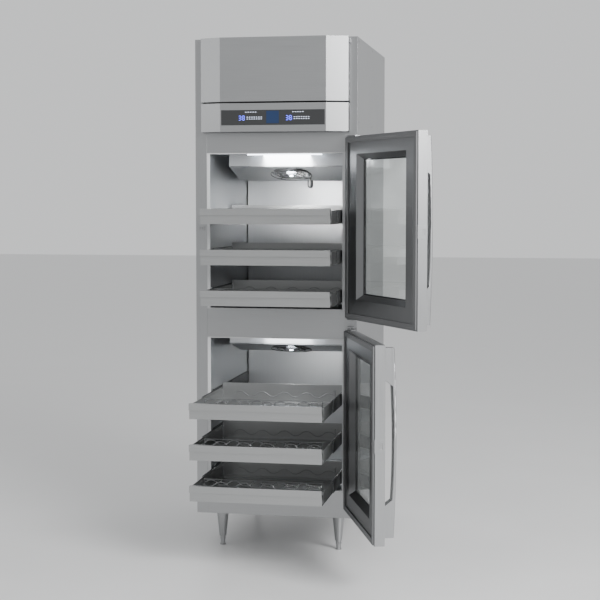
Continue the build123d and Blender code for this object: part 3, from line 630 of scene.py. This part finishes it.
class CABINET_OT_pipes(bpy.types.Operator):
    """Bend the copper pipes between the compressor, the condenser and the wall"""
    bl_idname = "cabinet.pipes"
    bl_label = "Copper pipes"

    def execute(self, context):
        f, s = settings("finishes"), settings("sizes")
        copper = plated_steel("Drawn copper tube", f.copper, 0.3)
        shell_low, shell_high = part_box("compressor")
        coil_low, coil_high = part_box("condenser")
        middle = [(a + b) / 2 for a, b in zip(shell_low, shell_high)]
        rise = shell_high[2] + 40 * MM
        x, y, z = middle
        left, right = shell_low[0], shell_high[0]
        coil_x, coil_y = coil_low[0], coil_high[1]
        discharge = [(left + 60 * MM, y - 40 * MM, z), (left - 20 * MM, y - 40 * MM, z),
                     (left - 40 * MM, y - 60 * MM, rise), (coil_x + 40 * MM, coil_y + 60 * MM,
                                                           rise + 60 * MM),
                     (coil_x + 20 * MM, coil_y + 20 * MM, rise + 80 * MM),
                     (coil_x + 12 * MM, coil_y - 30 * MM, rise + 80 * MM)]
        suction = [(right - 60 * MM, y + 30 * MM, z + 10 * MM), (right + 20 * MM, y + 30 * MM, z + 10 * MM),
                   (right + 30 * MM, y + 60 * MM, z + 90 * MM), (right, y + 130 * MM, z + 60 * MM),
                   (right - 20 * MM, y + 150 * MM, shell_low[2] + 2 * MM)]
        for name, points in (("discharge_pipe", discharge), ("suction_pipe", suction)):
            place(pipe(name, points, s.tube), copper, "cabinet", "hinge_steel")
        return {"FINISHED"}


def pipe(name, points, diameter):
    """A round tube bent smoothly along points."""
    curve = bpy.data.curves.new(name, "CURVE")
    curve.dimensions = "3D"
    curve.bevel_depth = diameter / 2
    curve.bevel_resolution = 4
    curve.use_fill_caps = True
    spline = curve.splines.new("NURBS")
    spline.points.add(len(points) - 1)
    for point, at in zip(spline.points, points):
        point.co = (*at, 1)
    spline.order_u = 3
    spline.use_endpoint_u = True
    piece = bpy.data.objects.new(name, curve)
    bpy.context.scene.collection.objects.link(piece)
    deselect()
    piece.select_set(True)
    bpy.context.view_layer.objects.active = piece
    bpy.ops.object.convert(target="MESH")
    bpy.ops.object.shade_smooth()
    return bpy.context.object


class CABINET_OT_stage(bpy.types.Operator):
    """Set up the floor, the soft light and the camera"""
    bl_idname = "cabinet.stage"
    bl_label = "Stage"

    def execute(self, context):
        stage = settings("stage")
        deselect()
        bpy.ops.mesh.primitive_plane_add(size=60, location=(0, 0, -0.5 * MM))
        floor = context.object
        floor.name = "Floor"
        floor.data.materials.append(floor_paint("Sealed pale floor", settings("finishes").floor))
        for name, place_at, target, size, power in SOFTBOXES:
            soft_light(name, place_at, target, size, getattr(stage, power))
        for door, power in (("upper", stage.upper_lamp), ("lower", stage.lower_lamp)):
            low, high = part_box(f"{door}_fan_blades")
            middle = (low[0] + high[0]) / 2
            soft_light(f"{door} fan lamp", (middle, low[1], low[2] - 25 * MM),
                       (middle, 0.6, low[2] - 0.3), 0.06, power)
            soft_light(f"{door} strip lamp", (middle, 0.07, high[2] + 5 * MM),
                       (middle, 0.5, low[2] - 0.4), 0.2, power)
        world = bpy.data.worlds.new("Soft surround")
        context.scene.world = world
        world.use_nodes = True
        background = world.node_tree.nodes["Background"]
        background.inputs["Color"].default_value = linear(settings("finishes").surround)
        background.inputs["Strength"].default_value = stage.sky
        lens = bpy.data.cameras.new("Camera")
        camera = bpy.data.objects.new("Camera", lens)
        context.scene.collection.objects.link(camera)
        lens.lens = stage.lens
        lens.sensor_width = 36.0
        camera.location = stage.place
        camera.rotation_euler = (pi / 2 - stage.tilt, 0, stage.turn)
        context.scene.camera = camera
        return {"FINISHED"}


def soft_light(name, place_at, target, size, power):
    """A square softbox that faces a point."""
    light = bpy.data.lights.new(name, "AREA")
    light.size = size
    light.energy = power
    lamp = bpy.data.objects.new(name, light)
    bpy.context.scene.collection.objects.link(lamp)
    lamp.location = place_at
    lamp.rotation_euler = (Vector(target) - Vector(place_at)).to_track_quat("-Z", "Y").to_euler()


class CABINET_PT_panel(bpy.types.Panel):
    """Sidebar panel of the cabinet's operators and settings"""
    bl_label = "Proofing cabinet"
    bl_idname = "CABINET_PT_panel"
    bl_space_type = "VIEW_3D"
    bl_region_type = "UI"
    bl_category = "Cabinet"

    def draw(self, context):
        for operator in OPERATORS:
            self.layout.operator(operator.bl_idname)
        for name in GROUPS:
            group = settings(name)
            for key in group.__annotations__:
                self.layout.prop(group, key)


GROUPS = {"finishes": CabinetFinishes, "sizes": CabinetSizes, "stage": CabinetStage}
OPERATORS = [CABINET_OT_stage, CABINET_OT_finishes, CABINET_OT_seals, CABINET_OT_display, CABINET_OT_screws,
             CABINET_OT_pipes]


def register():
    for cls in (*GROUPS.values(), *OPERATORS, CABINET_PT_panel):
        bpy.utils.register_class(cls)
    for name, cls in GROUPS.items():
        setattr(bpy.types.Scene, f"cabinet_{name}", PointerProperty(type=cls))


def unregister():
    for name in GROUPS:
        delattr(bpy.types.Scene, f"cabinet_{name}")
    for cls in reversed((*GROUPS.values(), *OPERATORS, CABINET_PT_panel)):
        bpy.utils.unregister_class(cls)


def main():
    register()
    for operator in OPERATORS:
        group, name = operator.bl_idname.split(".")
        getattr(getattr(bpy.ops, group), name)()


if __name__ == "__main__":
    main()
